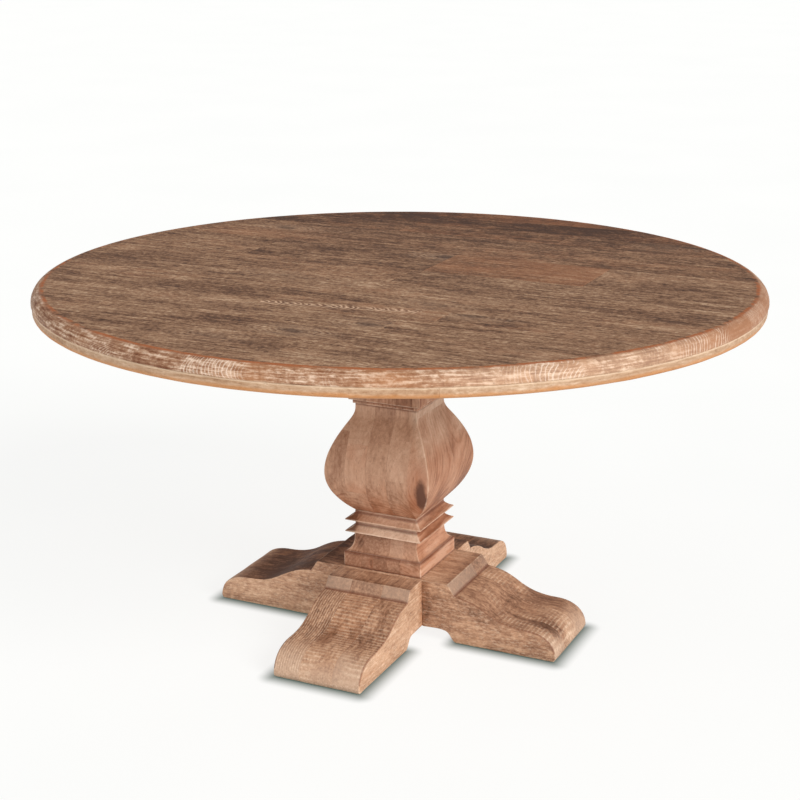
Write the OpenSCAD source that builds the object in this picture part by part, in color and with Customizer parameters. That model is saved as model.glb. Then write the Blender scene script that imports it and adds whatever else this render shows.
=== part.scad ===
// Round pedestal dining table: a boarded top on a square, moulded column and a cross of scroll feet.
// Origin on the floor under the centre of the table, +Z up. The top boards run along X.
// The two beams of the base lie along X and Y.

/* [Table] */
// Height from the floor to the upper face of the top
table_h = 762; // [752:1:790]
// Diameter of the top
top_d = 1500; // [1480:10:1560]

/* [Top] */
// Thickness of the top boards
board_t = 27; // [26:0.5:30]
// Radius that rounds the upper edge of the boards
edge_r = 25; // [10:0.5:25]
// Thickness of the rim glued under the boards
rim_t = 21; // [16:0.5:24]
// Width of the rim, measured inwards from its outer face
rim_w = 85; // [60:5:85]
// How far the rim is set back from the edge of the boards
rim_inset = 2; // [1:0.5:4]
// Radius that eases the lower edge of the rim
rim_ease = 8; // [4:0.5:12]

/* [Bearers] */
// Length of each bearer of the half-lapped cross under the top
bearer_l = 900; // [860:10:980]
// Width of a bearer
bearer_w = 90; // [70:5:100]
// Thickness of a bearer
bearer_t = 45; // [40:1:50]
// Length of each batten near the ends of the boards
batten_l = 660; // [620:10:660]
// Side of the square plate that bolts the column to the bearers
plate_w = 350; // [340:5:380]
// Thickness of that plate
plate_t = 25; // [22:1:30]

/* [Column] */
// Greatest width of the urn
urn_w = 242; // [220:2:260]
// Width of the neck above the urn
neck_w = 142; // [136:2:146]
// Width across the tips of the two fins
fin_w = 177; // [170:1:185]
// Width of the plinth block
plinth_w = 181; // [178:1:186]

/* [Cross base] */
// Width of each beam
beam_w = 193; // [188:1:210]
// Distance from the centre to the tip of a toe
foot_reach = 397; // [380:1:430]
// Height of the flat deck in the middle of the cross
deck_z = 131; // [125:1:135]
// Clear height under the middle of the cross
arch_z = 26; // [20:1:30]
// Thickness of the felt under each foot
felt_t = 2; // [1:0.5:3]

/* [Hidden] */
$fn = 64;

// Levels of the column, from the floor up
plinth_top = 164;
collar_top = 209;
lower_fin_h = 26.5;
upper_fin_h = 20;
upper_fin_z = collar_top + lower_fin_h;
urn_foot_z = upper_fin_z + upper_fin_h;
belly_z = 350;
shoulder_z = 450;
neck_z = 484;
urn_top = 494;
plate_z = table_h - board_t - bearer_t - plate_t;
bearer_z = plate_z + plate_t;
board_z = table_h - board_t;

// Half widths of the column's mouldings
urn_foot_r = 72;
shoulder_r = 85.5;
collar_r = 73;
cap_neck_r = 75;
cap_neck_h = 9;
cap_shaft_r = 82;
cap_top_r = 125;
cap_fillet = 5;
cap_band_h = 20;
cap_hollow_h = 50;

// Upright layers that the urn is glued up from
urn_layers = 5;
urn_layer_w = 48;

// Foot outline: lip, step and scroll
lip_r = 154;
step_r = 170;
step_z = 108;
bend_r = 243;
bend_z = 83;
flat_z = 61;
toe_r = 335;
heel_r = 175;
arch_r = 145;

// Tie rod, its nuts and washers, and the holes that take them
rod_r = 8;
rod_bore_r = 9;
rod_nut_h = 13;
rod_nut_r = 13.8;
rod_washer_r = 20;
rod_washer_t = 3;
rod_end = 3;
nut_hole_r = 22;
nut_hole_h = 24;

// Bolts, screws, dowels and inserts
bolt_at = 150;
bolt_r = 4;
bolt_bore_r = 4.5;
bolt_head_r = 7.5;
bolt_head_h = 5.5;
bolt_washer_r = 12;
bolt_washer_t = 1.6;
bolt_end = 2;
insert_r = 6;
insert_bore_r = 4.2;
insert_h = 20;
screw_r = 2.5;
screw_head_r = 5;
screw_head_h = 3;
hole_gap = 0.3;
plate_screw_at = 80;
plate_screw_l = 60;
bearer_screw_l = 58;
batten_screw_l = 38;
dowel_r = 6;
dowel_l = 54;
dowel_at = 60;

// Battens and felt
batten_at = top_d / 2 - 210;
batten_w = 60;
batten_t = 22;
felt_l = 150;
felt_w = 150;
felt_at = 290;

// Edges of the rows of boards, from the front to the back of the top
row_y = [-top_d / 2, -645, -555, -457, -357, -265, -180, -65, 50, 230, 330, 430, 545, 650, top_d / 2];
// Where the boards of each row butt end to end, along X
row_joints = [
    [], [70], [], [165], [-140, 230], [], [-330],
    [10], [-400, 30, 380], [], [], [-205, 185], [], []
];
row_count = len(row_joints);
rim_count = 6;

// Screws up into the boards
bearer_screw_steps = [210, 300, 400];
batten_screw_steps = [-290, -110, 110, 290];
bearer_screw_points = [
    for (d = bearer_screw_steps, s = [-1, 1]) each [[s * d, 0], [0, s * d]]
];
batten_screw_points = [
    for (s = [-1, 1], y = batten_screw_steps) [s * batten_at, y]
];

// Colours
top_brown = "#8a6a50";
rim_tan = "#b98a5e";
column_tan = "#ab7f5f";
base_tan = "#a98262";
plain_wood = "#c2a079";
steel = "silver";
brass = "#c9a64a";
felt_grey = "#55504a";

function two_digits(n) = n < 10 ? str("0", n) : str(n);
function board_name(row, k) = str("top_board_", two_digits(row + 1), "_", k + 1);
function boards_in(row) = len(row_joints[row]) + 1;
function rim_name(k) = str("rim_segment_", k + 1);
function layer_name(k) = str("urn_layer_", k + 1);

// ---------- outlines ----------

// Points on a cubic curve through a and d, pulled towards b and c; the first point is left out
function curve(a, b, c, d, steps = 10) = [
    for (i = [1 : steps])
        let (t = i / steps, u = 1 - t)
        u * u * u * a + 3 * u * u * t * b + 3 * u * t * t * c + t * t * t * d
];

function mirrored(points) = [for (i = [len(points) - 1 : -1 : 0]) [-points[i][0], points[i][1]]];

// Half outline of the urn, from its foot to its neck
urn_foot = [urn_foot_r, urn_foot_z];
belly = [urn_w / 2, belly_z];
shoulder = [shoulder_r, shoulder_z];
neck = [neck_w / 2, neck_z];
urn_outline = concat(
    [urn_foot],
    curve(urn_foot, urn_foot + [24, 22.5], belly + [0, -42], belly),
    curve(belly, belly + [0, 32], shoulder + [22, -35], shoulder),
    curve(shoulder, shoulder + [-9, 14], neck + [0, -12], neck, 8),
    [[neck[0], urn_top]]
);

// Half outline of a fin: flat below, a thin tip, a hollow slope, then the band above it
fin_r = fin_w / 2;
tip_h = 2;
slope_h = 15;
function fin_outline(z, height) =
    let (tip = [fin_r, z + tip_h], root = [urn_foot_r, z + slope_h])
    concat(
        [[fin_r, z], tip],
        curve(tip, tip + [-9, 4], root + [3, -5], root, 6),
        [[urn_foot_r, z + height]]
    );

// Half outline of the collar: a hollow that runs out to the plinth block
plinth_r = plinth_w / 2;
collar_edge = 3;
collar_foot = [plinth_r - collar_edge, plinth_top];
collar_outline = concat(
    [collar_foot, collar_foot + [0, 1]],
    curve(collar_foot + [0, 1], [collar_r + 5, plinth_top + 3], [collar_r, 180], [collar_r, 196]),
    [[collar_r, collar_top]]
);

// Half outline of the capital: neck band, shaft, hollow and top fillet
cap_neck_top = urn_top + cap_neck_h;
cap_band_z = plate_z - cap_band_h;
cap_hollow_top = [cap_top_r - cap_fillet, cap_band_z - cap_fillet];
cap_hollow_foot = [cap_shaft_r, cap_hollow_top[1] - cap_hollow_h];
capital_outline = concat(
    [[cap_neck_r, urn_top], [cap_neck_r, cap_neck_top], [cap_shaft_r, cap_neck_top], cap_hollow_foot],
    curve(cap_hollow_foot, cap_hollow_foot + [0, 35], cap_hollow_top + [-25, 0], cap_hollow_top),
    [[cap_hollow_top[0], cap_band_z], [cap_top_r, cap_band_z], [cap_top_r, plate_z]]
);

// Half outline of a beam, from the middle of the deck out to the toe and back under the arch
beam_outline = concat(
    [[lip_r, deck_z], [step_r, step_z]],
    curve([step_r, step_z], [200, 104], [218, 98], [bend_r, bend_z]),
    curve([bend_r, bend_z], [268, 68], [290, flat_z], [toe_r, flat_z]),
    curve([toe_r, flat_z], [foot_reach - 25, flat_z - 2], [foot_reach - 1, 42], [foot_reach, 9]),
    [[foot_reach - 3, felt_t], [heel_r, felt_t]],
    curve([heel_r, felt_t], [heel_r - 12, felt_t + 1], [arch_r + 19, arch_z - 1], [arch_r, arch_z], 8)
);

// ---------- building blocks ----------

// Extrudes a half outline and its mirror image right through, along Y
module ridge(outline, reach) {
    rotate([90, 0, 0])
        linear_extrude(height = reach, center = true)
            polygon(concat(outline, mirrored(outline)));
}

// Square-section moulding: the same outline on all four sides, mitred at the corners
module square_moulding(outline, reach) {
    intersection() {
        ridge(outline, reach);
        rotate([0, 0, 90]) ridge(outline, reach);
    }
}

module block(size_x, size_y, z_low, z_high) {
    translate([-size_x / 2, -size_y / 2, z_low])
        cube([size_x, size_y, z_high - z_low]);
}

module rod_bore() {
    cylinder(h = table_h, r = rod_bore_r);
}

module countersunk_screw(length) {
    cylinder(h = screw_head_h, r1 = screw_head_r, r2 = screw_r);
    cylinder(h = length, r = screw_r);
}

module screw_bore(length) {
    cylinder(h = length, r = screw_r + hole_gap);
}

module screw_hole(length) {
    translate([0, 0, -1]) screw_bore(length + 1);
    translate([0, 0, -hole_gap])
        cylinder(
            h = screw_head_h + 2 * hole_gap,
            r1 = screw_head_r + 2 * hole_gap,
            r2 = screw_r + hole_gap
        );
}

module at_each(points, z) {
    for (p = points) translate([p[0], p[1], z]) children();
}

// The four bolts stand on the two axes
module at_each_bolt(z) {
    for (a = [0 : 90 : 270]) rotate([0, 0, a]) translate([bolt_at, 0, z]) children();
}

// The points that lie between two corners
function inside(points, low, high) = [
    for (p = points)
        if (p[0] > low[0] && p[0] < high[0] && p[1] > low[1] && p[1] < high[1]) p
];

// ---------- top ----------

// The whole round top before it is cut into boards
module top_disc() {
    top_r = top_d / 2;
    rotate_extrude($fn = 180)
        translate([0, board_z]) {
            square([top_r - edge_r, board_t]);
            square([top_r, board_t - edge_r]);
            intersection() {
                translate([top_r - edge_r, board_t - edge_r]) circle(r = edge_r, $fn = 96);
                translate([top_r - edge_r, board_t - edge_r]) square(edge_r);
            }
        }
}

// One board: its row and its place in the row, counted from the left
module top_board(row, k) {
    joints = concat([-top_d / 2], row_joints[row], [top_d / 2]);
    low = [joints[k], row_y[row]];
    high = [joints[k + 1], row_y[row + 1]];
    batten_z = board_z - batten_t;
    color(top_brown)
        difference() {
            intersection() {
                top_disc();
                translate([low[0], low[1], board_z - 1])
                    cube([high[0] - low[0], high[1] - low[1], board_t + 2]);
            }
            at_each(inside(bearer_screw_points, low, high), bearer_z) screw_bore(bearer_screw_l + 1);
            at_each(inside(batten_screw_points, low, high), batten_z) screw_bore(batten_screw_l + 1);
        }
}

// The round rim before it is cut into segments
module rim_ring() {
    outer = top_d / 2 - rim_inset;
    rotate_extrude($fn = 180)
        translate([0, board_z - rim_t]) {
            translate([outer - rim_w, 0]) square([rim_w - rim_ease, rim_t]);
            translate([outer - rim_ease, rim_ease]) square([rim_ease, rim_t - rim_ease]);
            intersection() {
                translate([outer - rim_ease, rim_ease]) circle(r = rim_ease, $fn = 64);
                translate([outer - rim_ease, 0]) square(rim_ease);
            }
        }
}

// One curved piece of the rim
module rim_segment(k) {
    span = 360 / rim_count;
    color(rim_tan)
        rotate([0, 0, k * span])
            intersection() {
                rim_ring();
                translate([0, 0, board_z - rim_t - 1])
                    linear_extrude(height = rim_t + 2)
                        polygon([[0, 0], for (a = [0 : span / 2 : span]) top_d * [cos(a), sin(a)]]);
            }
}

// ---------- under the top ----------

bevel = 18;

// A bearer along X, with its lower ends bevelled
module bearer_blank() {
    half = bearer_l / 2;
    rotate([90, 0, 0])
        linear_extrude(height = bearer_w, center = true)
            polygon([
                [-half + 2 * bevel, bearer_z], [half - 2 * bevel, bearer_z], [half, bearer_z + bevel],
                [half, board_z], [-half, board_z], [-half, bearer_z + bevel]
            ]);
}

module bearer_holes() {
    at_each(bearer_screw_points, bearer_z) screw_hole(bearer_screw_l);
    at_each_bolt(bearer_z - 1) cylinder(h = insert_h + 1, r = insert_r);
}

module bearer_x() {
    color(plain_wood)
        difference() {
            bearer_blank();
            block(bearer_w, bearer_w + 2, bearer_z + bearer_t / 2, table_h);
            bearer_holes();
        }
}

module bearer_y() {
    color(plain_wood)
        difference() {
            rotate([0, 0, 90]) bearer_blank();
            block(bearer_w + 2, bearer_w, bearer_z - 1, bearer_z + bearer_t / 2);
            bearer_holes();
        }
}

module batten(side) {
    color(plain_wood)
        difference() {
            translate([side * batten_at, 0, 0]) block(batten_w, batten_l, board_z - batten_t, board_z);
            at_each(batten_screw_points, board_z - batten_t) screw_hole(batten_screw_l);
        }
}

plate_bevel = 8;

module mounting_plate() {
    half = plate_w / 2;
    outline = [[half - plate_bevel, plate_z], [half, plate_z + plate_bevel], [half, bearer_z]];
    color(plain_wood)
        difference() {
            square_moulding(outline, plate_w);
            translate([0, 0, plate_z - 1]) cylinder(h = plate_t + 2, r = nut_hole_r);
            at_each_bolt(plate_z - 1) cylinder(h = plate_t + 2, r = bolt_bore_r);
            plate_screw_places() mirror([0, 0, 1]) screw_hole(plate_screw_l);
        }
}

module plate_screw_places() {
    for (x = [-1, 1], y = [-1, 1])
        translate([x * plate_screw_at, y * plate_screw_at, bearer_z]) children();
}

// ---------- column ----------

module capital() {
    color(column_tan)
        difference() {
            square_moulding(capital_outline, 2 * cap_top_r);
            rod_bore();
            plate_screw_places() mirror([0, 0, 1]) screw_hole(plate_screw_l);
        }
}

// One layer of the urn, counted from the left; the outer two hold the rest of the belly
module urn_layer(k) {
    left_joint = (k - urn_layers / 2) * urn_layer_w;
    low = k == 0 ? -urn_w : left_joint;
    high = k == urn_layers - 1 ? urn_w : left_joint + urn_layer_w;
    color(column_tan)
        difference() {
            intersection() {
                square_moulding(urn_outline, urn_w);
                translate([low, -urn_w, urn_foot_z]) cube([high - low, 2 * urn_w, urn_top - urn_foot_z]);
            }
            rod_bore();
        }
}

module fin(z, height) {
    color(column_tan)
        difference() {
            square_moulding(fin_outline(z, height), fin_w);
            rod_bore();
        }
}

module upper_fin() {
    fin(upper_fin_z, upper_fin_h);
}

module lower_fin() {
    fin(collar_top, lower_fin_h);
}

module collar() {
    color(column_tan)
        difference() {
            square_moulding(collar_outline, plinth_w);
            rod_bore();
        }
}

module plinth_block() {
    color(column_tan)
        difference() {
            block(plinth_w, plinth_w, deck_z, plinth_top);
            rod_bore();
            dowel_places() cylinder(h = dowel_l, r = dowel_r);
        }
}

// ---------- base ----------

lap_z = (arch_z + deck_z) / 2;

module dowel_places() {
    for (x = [-1, 1], y = [-1, 1])
        translate([x * dowel_at, y * dowel_at, deck_z - dowel_l / 2]) children();
}

// The beam that keeps its upper half across the middle
module base_beam_x() {
    color(base_tan)
        difference() {
            ridge(beam_outline, beam_w);
            block(beam_w, beam_w + 2, 0, lap_z);
            rod_bore();
            dowel_places() cylinder(h = dowel_l, r = dowel_r);
        }
}

// The beam that keeps its lower half, and takes the nut of the tie rod in a pocket
module base_beam_y() {
    color(base_tan)
        difference() {
            rotate([0, 0, 90]) ridge(beam_outline, beam_w);
            block(beam_w + 2, beam_w, lap_z, deck_z + 1);
            rod_bore();
            translate([0, 0, arch_z - 1]) cylinder(h = nut_hole_h + 1, r = nut_hole_r);
        }
}

// ---------- hardware ----------

// The lower washer bears up on the beam, and the upper one bears down on the capital
low_washer_z = arch_z + nut_hole_h - rod_washer_t;
low_nut_z = low_washer_z - rod_nut_h;
rod_low = low_nut_z - rod_end;
high_washer_z = plate_z;
high_nut_z = high_washer_z + rod_washer_t;
rod_high = high_nut_z + rod_nut_h + rod_end;

module tie_rod() {
    color(steel) translate([0, 0, rod_low]) cylinder(h = rod_high - rod_low, r = rod_r);
}

module rod_nuts() {
    color(steel)
        for (z = [low_nut_z, high_nut_z])
            translate([0, 0, z])
                difference() {
                    cylinder(h = rod_nut_h, r = rod_nut_r, $fn = 6);
                    translate([0, 0, -1]) cylinder(h = rod_nut_h + 2, r = rod_r);
                }
}

module rod_washers() {
    color(steel)
        for (z = [low_washer_z, high_washer_z])
            translate([0, 0, z])
                difference() {
                    cylinder(h = rod_washer_t, r = rod_washer_r);
                    translate([0, 0, -1]) cylinder(h = rod_washer_t + 2, r = rod_bore_r);
                }
}

module plate_bolts() {
    color(steel)
        at_each_bolt(plate_z - bolt_washer_t) {
            translate([0, 0, -bolt_head_h]) cylinder(h = bolt_head_h, r = bolt_head_r, $fn = 6);
            cylinder(h = plate_t + insert_h - bolt_end, r = bolt_r);
        }
}

module bolt_washers() {
    color(steel)
        at_each_bolt(plate_z - bolt_washer_t)
            difference() {
                cylinder(h = bolt_washer_t, r = bolt_washer_r);
                translate([0, 0, -1]) cylinder(h = bolt_washer_t + 2, r = bolt_bore_r);
            }
}

module threaded_inserts() {
    color(brass)
        at_each_bolt(bearer_z)
            difference() {
                cylinder(h = insert_h, r = insert_r);
                translate([0, 0, -1]) cylinder(h = insert_h + 2, r = insert_bore_r);
            }
}

module bearer_screws() {
    color(steel) at_each(bearer_screw_points, bearer_z) countersunk_screw(bearer_screw_l);
}

module batten_screws() {
    color(steel) at_each(batten_screw_points, board_z - batten_t) countersunk_screw(batten_screw_l);
}

module plate_screws() {
    color(steel) plate_screw_places() mirror([0, 0, 1]) countersunk_screw(plate_screw_l);
}

module base_dowels() {
    color(plain_wood) dowel_places() cylinder(h = dowel_l, r = dowel_r);
}

module felt_pads() {
    color(felt_grey)
        for (a = [0 : 90 : 270])
            rotate([0, 0, a]) translate([felt_at, 0, 0]) block(felt_l, felt_w, 0, felt_t);
}

// ---------- the parts ----------

for (row = [0 : row_count - 1], k = [0 : boards_in(row) - 1])
    top_board(row, k);
for (k = [0 : rim_count - 1])
    rim_segment(k);
bearer_x();
bearer_y();
batten(-1);  // batten_left
batten(1);  // batten_right
mounting_plate();
capital();
for (k = [0 : urn_layers - 1])
    urn_layer(k);
upper_fin();
lower_fin();
collar();
plinth_block();
base_beam_x();
base_beam_y();
tie_rod();
rod_nuts();
rod_washers();
plate_bolts();
bolt_washers();
threaded_inserts();
bearer_screws();
batten_screws();
plate_screws();
base_dowels();
felt_pads();
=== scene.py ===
"""Round pedestal dining table: worn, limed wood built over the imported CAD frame. Metres, +Z up."""

import math
import random
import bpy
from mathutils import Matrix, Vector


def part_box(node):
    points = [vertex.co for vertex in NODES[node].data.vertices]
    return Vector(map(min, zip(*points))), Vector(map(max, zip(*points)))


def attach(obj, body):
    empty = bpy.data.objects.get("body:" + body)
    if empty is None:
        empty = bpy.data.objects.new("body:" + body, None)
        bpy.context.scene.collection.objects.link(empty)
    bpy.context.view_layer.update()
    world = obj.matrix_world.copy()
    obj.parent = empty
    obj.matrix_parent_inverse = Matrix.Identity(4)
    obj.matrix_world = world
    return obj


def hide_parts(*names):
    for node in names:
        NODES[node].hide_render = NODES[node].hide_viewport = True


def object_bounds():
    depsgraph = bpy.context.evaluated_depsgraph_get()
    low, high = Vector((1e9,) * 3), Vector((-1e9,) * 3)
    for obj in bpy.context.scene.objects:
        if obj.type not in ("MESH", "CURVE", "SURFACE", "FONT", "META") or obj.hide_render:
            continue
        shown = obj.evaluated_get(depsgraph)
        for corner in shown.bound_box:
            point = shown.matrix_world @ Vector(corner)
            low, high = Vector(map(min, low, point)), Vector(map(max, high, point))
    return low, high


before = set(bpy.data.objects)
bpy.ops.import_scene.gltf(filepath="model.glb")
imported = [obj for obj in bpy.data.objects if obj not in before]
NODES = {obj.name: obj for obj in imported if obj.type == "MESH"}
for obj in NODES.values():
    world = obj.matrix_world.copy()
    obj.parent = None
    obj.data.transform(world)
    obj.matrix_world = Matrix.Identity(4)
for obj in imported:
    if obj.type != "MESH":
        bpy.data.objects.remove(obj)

from types import SimpleNamespace

import bmesh
import bpy
from mathutils import Euler, Vector, kdtree, noise

CAD_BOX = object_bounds()
MM = 0.001
TINY = 1e-6
# Without a seed, the waves of the worn surfaces would differ from run to run
WAVE_SEED = 7
noise.seed_set(WAVE_SEED)

# ---------- places taken from the frame ----------

BOARDS = sorted(n for n in NODES if n.startswith("top_board_"))
RIMS = sorted(n for n in NODES if n.startswith("rim_segment_"))
LAYERS = sorted(n for n in NODES if n.startswith("urn_layer_"))
TOP_R = CAD_BOX[1].x
TOP_Z = CAD_BOX[1].z
BOARD_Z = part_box(BOARDS[0])[0].z
RIM_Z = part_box(RIMS[0])[0].z
RIM_R = max(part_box(n)[1].x for n in RIMS)
BORE_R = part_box("tie_rod")[1].x + 1 * MM
WASHER_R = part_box("rod_washers")[1].x
DOWEL_R = 6 * MM
DOWEL_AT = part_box("base_dowels")[1].x - DOWEL_R


# ---------- small helpers ----------

def fade(distance, span):
    """1 at no distance, falling to 0 over a span."""
    return max(0.0, 1 - distance / span)


def grow(distance, span):
    """0 up to no distance, rising to 1 over a span."""
    return min(1.0, max(0.0, distance) / span)


def add_object(name, data):
    made = bpy.data.objects.new(name, data)
    bpy.context.scene.collection.objects.link(made)
    return made


def along_axis(axis, sign=1):
    normal = Vector()
    normal[axis] = sign
    return normal


# ---------- outlines read off the CAD nodes ----------

TOUCH = 0.02 * MM
COLUMN_CORE = 30 * MM
CORNER = math.radians(30)


def column_outline(*nodes):
    """(half width, z) of a square moulding, read off its mitres from the bottom up."""
    found = set()
    for name in nodes:
        for v in NODES[name].data.vertices:
            x, y, z = v.co
            if abs(abs(x) - abs(y)) < TOUCH and abs(x) > COLUMN_CORE:
                found.add((round(z, 5), round(abs(x), 5)))
    return [(half, z) for z, half in sorted(found)]


def side_outline(name, across):
    """Closed outline of a beam's flat side, in the plane of its length and height."""
    mesh = NODES[name].data
    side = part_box(name)[1][across]
    edges = set()
    for face in mesh.polygons:
        corners = [mesh.vertices[i].co for i in face.vertices]
        if all(abs(co[across] - side) < TOUCH for co in corners):
            flat = [(round(co[1 - across], 5), round(co.z, 5)) for co in corners]
            edges.update(zip(flat, flat[1:] + flat[:1]))
    after = {a: b for a, b in edges if (b, a) not in edges}
    outline = [min(after)]
    while after[outline[-1]] != outline[0]:
        outline.append(after[outline[-1]])
    return outline


def slope(before, after, chord):
    """Slope of a smooth line between two stretches; a corner keeps the chord's."""
    if min(before.length, after.length) < TINY or before.angle(after) > CORNER:
        return chord
    smooth = before / before.length * after.length + after / after.length * before.length
    return smooth.normalized() * chord.length


def smoothed(points, step, closed=False):
    """Adds points along the curves of an outline; corners and long straights stay."""
    n = len(points)
    around = [points[i % n] for i in range(-1, n + 2)] if closed else [points[0], *points, points[-1]]
    out = []
    for i in range(n if closed else n - 1):
        p0, p1, p2, p3 = (Vector(p) for p in around[i:i + 4])
        before, chord, after = p1 - p0, p2 - p1, p3 - p2
        pieces = max(1, round(chord.length / step))
        start = end = chord
        if chord.length <= 3 * max(before.length, after.length):
            start, end = slope(before, chord, chord), slope(chord, after, chord)
        for k in range(pieces):
            t = k / pieces
            a, b = 2 * t ** 3 - 3 * t ** 2 + 1, t ** 3 - 2 * t ** 2 + t
            c, d = -2 * t ** 3 + 3 * t ** 2, t ** 3 - t ** 2
            out.append(tuple(p1 * a + start * b + p2 * c + end * d))
    return out if closed else [*out, tuple(points[-1])]


# ---------- solids ----------

LATHE_STEPS = 300


def skin(bm, rings):
    """Faces between rings of vertices; a pole is a ring of one repeated vertex."""
    for low, high in zip(rings, rings[1:]):
        for i in range(len(low)):
            j = (i + 1) % len(low)
            bm.faces.new(list(dict.fromkeys((low[i], low[j], high[j], high[i]))))


def square_solid(outline):
    """Square moulding, mitred at its corners."""
    bm = bmesh.new()
    rings = [[bm.verts.new((sx * h, sy * h, z)) for sx, sy in ((-1, -1), (1, -1), (1, 1), (-1, 1))]
             for h, z in outline]
    skin(bm, rings)
    bm.faces.new(rings[0][::-1])
    bm.faces.new(rings[-1])
    bm.normal_update()
    return bm


def extruded_solid(outline, across, low, high):
    """Beam: its side outline carried straight across."""
    bm = bmesh.new()
    rings = [[bm.verts.new((u, v, z) if across == 1 else (v, u, z)) for u, z in outline]
             for v in (low, high)]
    skin(bm, rings)
    bm.faces.new(rings[0][::-1])
    bm.faces.new(rings[1])
    bmesh.ops.recalc_face_normals(bm, faces=bm.faces[:])
    return bm


def lathe(profile, closed):
    """Turns a profile of (radius, z) round the Z axis. Points at radius 0 become poles."""
    bm = bmesh.new()
    angles = [2 * math.pi * k / LATHE_STEPS for k in range(LATHE_STEPS)]
    rings = []
    for r, z in profile:
        if r < TINY:
            rings.append([bm.verts.new((0, 0, z))] * LATHE_STEPS)
        else:
            rings.append([bm.verts.new((r * math.cos(a), r * math.sin(a), z)) for a in angles])
    skin(bm, rings + rings[:1] if closed else rings)
    bmesh.ops.recalc_face_normals(bm, faces=bm.faces[:])
    return bm


def bisect(bm, point, normal, **how):
    return bmesh.ops.bisect_plane(bm, geom=bm.verts[:] + bm.edges[:] + bm.faces[:], dist=TINY,
                                  plane_co=point, plane_no=normal, **how)


def slice_at(bm, axis, places):
    """Adds edge loops where planes across an axis meet the mesh."""
    normal = along_axis(axis)
    for place in places:
        bisect(bm, normal * place, normal)


def even_cuts(low, high, step):
    """Places between two ends, about a step apart."""
    count = max(1, round((high - low) / step))
    return [low + (high - low) * k / count for k in range(1, count)]


def keep_below(bm, point, normal):
    """Cuts a closed mesh, keeps the side that the normal leaves, and closes the cut."""
    layer = bm.faces.layers.int.get("cut") or bm.faces.layers.int.new("cut")
    cut = bisect(bm, point, normal, clear_outer=True)
    edges = [e for e in cut["geom_cut"] if isinstance(e, bmesh.types.BMEdge) and e.is_boundary]
    if edges:
        for face in bmesh.ops.holes_fill(bm, edges=edges, sides=0)["faces"]:
            face[layer] = 1


def bevel(bm, width, segments, chosen):
    edges = [e for e in bm.edges
             if len(e.link_faces) == 2 and chosen(e) and e.calc_face_angle(0) > CORNER]
    bmesh.ops.bevel(bm, geom=edges, offset=width, segments=segments, profile=0.5, affect="EDGES",
                    clamp_overlap=True)


def ease_cuts(bm, width):
    """A narrow bevel along the edges of every cut face, which draws the glue line."""
    layer = bm.faces.layers.int.get("cut")
    if layer is not None:
        bevel(bm, width, 1, lambda e: sum(f[layer] for f in e.link_faces) == 1)


# Sharp corners: convex ones wear pale, concave ones take dirt and painted shade
SHARP_ANGLE = math.radians(24)
SHARP_STEP = 2 * MM


def sharp_lines(bm, convex, seams=()):
    """Points along the convex or concave corners. Corners at a glued seam's height are concave."""
    points = []
    for e in bm.edges:
        if len(e.link_faces) != 2 or e.calc_face_angle(0) < SHARP_ANGLE:
            continue
        a, b = (v.co for v in e.verts)
        glued = any(abs(a.z - z) < 0.1 * MM and abs(b.z - z) < 0.1 * MM for z in seams)
        if (e.is_convex and not glued) == convex:
            count = max(1, int((b - a).length / SHARP_STEP))
            points += [a.lerp(b, k / count) for k in range(count + 1)]
    tree = kdtree.KDTree(len(points))
    for i, p in enumerate(points):
        tree.insert(p, i)
    tree.balance()
    return tree if points else None


def round_corners(bm, radius):
    bevel(bm, radius, 3, lambda e: e.is_convex)


def groove_cuts(joints, half_width):
    return [j + s * half_width for j in joints for s in (-1, 0, 1)]


def sink_joints(bm, axis, joints, depth):
    """Pulls the middle line of each glue joint in, towards the axis of the column."""
    bm.normal_update()
    for v in bm.verts:
        if any(abs(v.co[axis] - j) < 0.01 * MM for j in joints):
            v.co -= v.normal * depth


def roughen(bm, size, amount, share=lambda co: 1.0):
    """Slight waves that depend only on place, so pieces that touch stay together."""
    for v in bm.verts:
        v.co += noise.noise_vector(v.co / size) * amount * share(v.co)


# ---------- pieces ----------

WEAR_AND_SHADE_REACH = 12 * MM
NOWHERE = (1, 1, 0)
FIELDS = ("grain", "look", "knot", "figure", "worn")
SMOOTH_UP_TO = math.radians(32)


def paint(mesh, arris=None, recess=None, marks=None, **fields):
    """Stores what the wood materials need: grain place, look, knot, figure, and wear with nearness to
    hollows, where dirt and painted shade go.
    """
    def worn(co, centre, normal):
        # Nearness to worn corners, nearness to hollows (for dirt and painted shade), and saw marks
        near = [fade(tree.find(co)[2], WEAR_AND_SHADE_REACH) if tree else 0.0 for tree in (arris, recess)]
        return (*near, marks(co) if marks else 0.0)

    fields["worn"] = worn
    for name in FIELDS:
        mesh.attributes.new(name, "FLOAT_VECTOR", "CORNER")
    stored = {name: mesh.attributes[name].data for name in FIELDS}
    for face in mesh.polygons:
        centre, normal = face.center.copy(), face.normal.copy()
        for loop in face.loop_indices:
            co = mesh.vertices[mesh.loops[loop].vertex_index].co
            for name in FIELDS:
                function = fields.get(name)
                stored[name][loop].vector = function(co, centre, normal) if function else NOWHERE


def bored(piece, holes):
    """Cuts round holes given as (x, y, low, high, radius)."""
    for x, y, low, high, radius in holes:
        bm = bmesh.new()
        bmesh.ops.create_cone(bm, cap_ends=True, segments=40, radius1=radius, radius2=radius,
                              depth=high - low)
        mesh = bpy.data.meshes.new("cutter")
        bm.to_mesh(mesh)
        bm.free()
        cutter = add_object("cutter", mesh)
        cutter.location = (x, y, (low + high) / 2)
        cut = piece.modifiers.new("bore", "BOOLEAN")
        cut.operation, cut.solver, cut.object = "DIFFERENCE", "EXACT", cutter
        with bpy.context.temp_override(object=piece, active_object=piece):
            bpy.ops.object.modifier_apply(modifier="bore")
        bpy.data.objects.remove(cutter)


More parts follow.
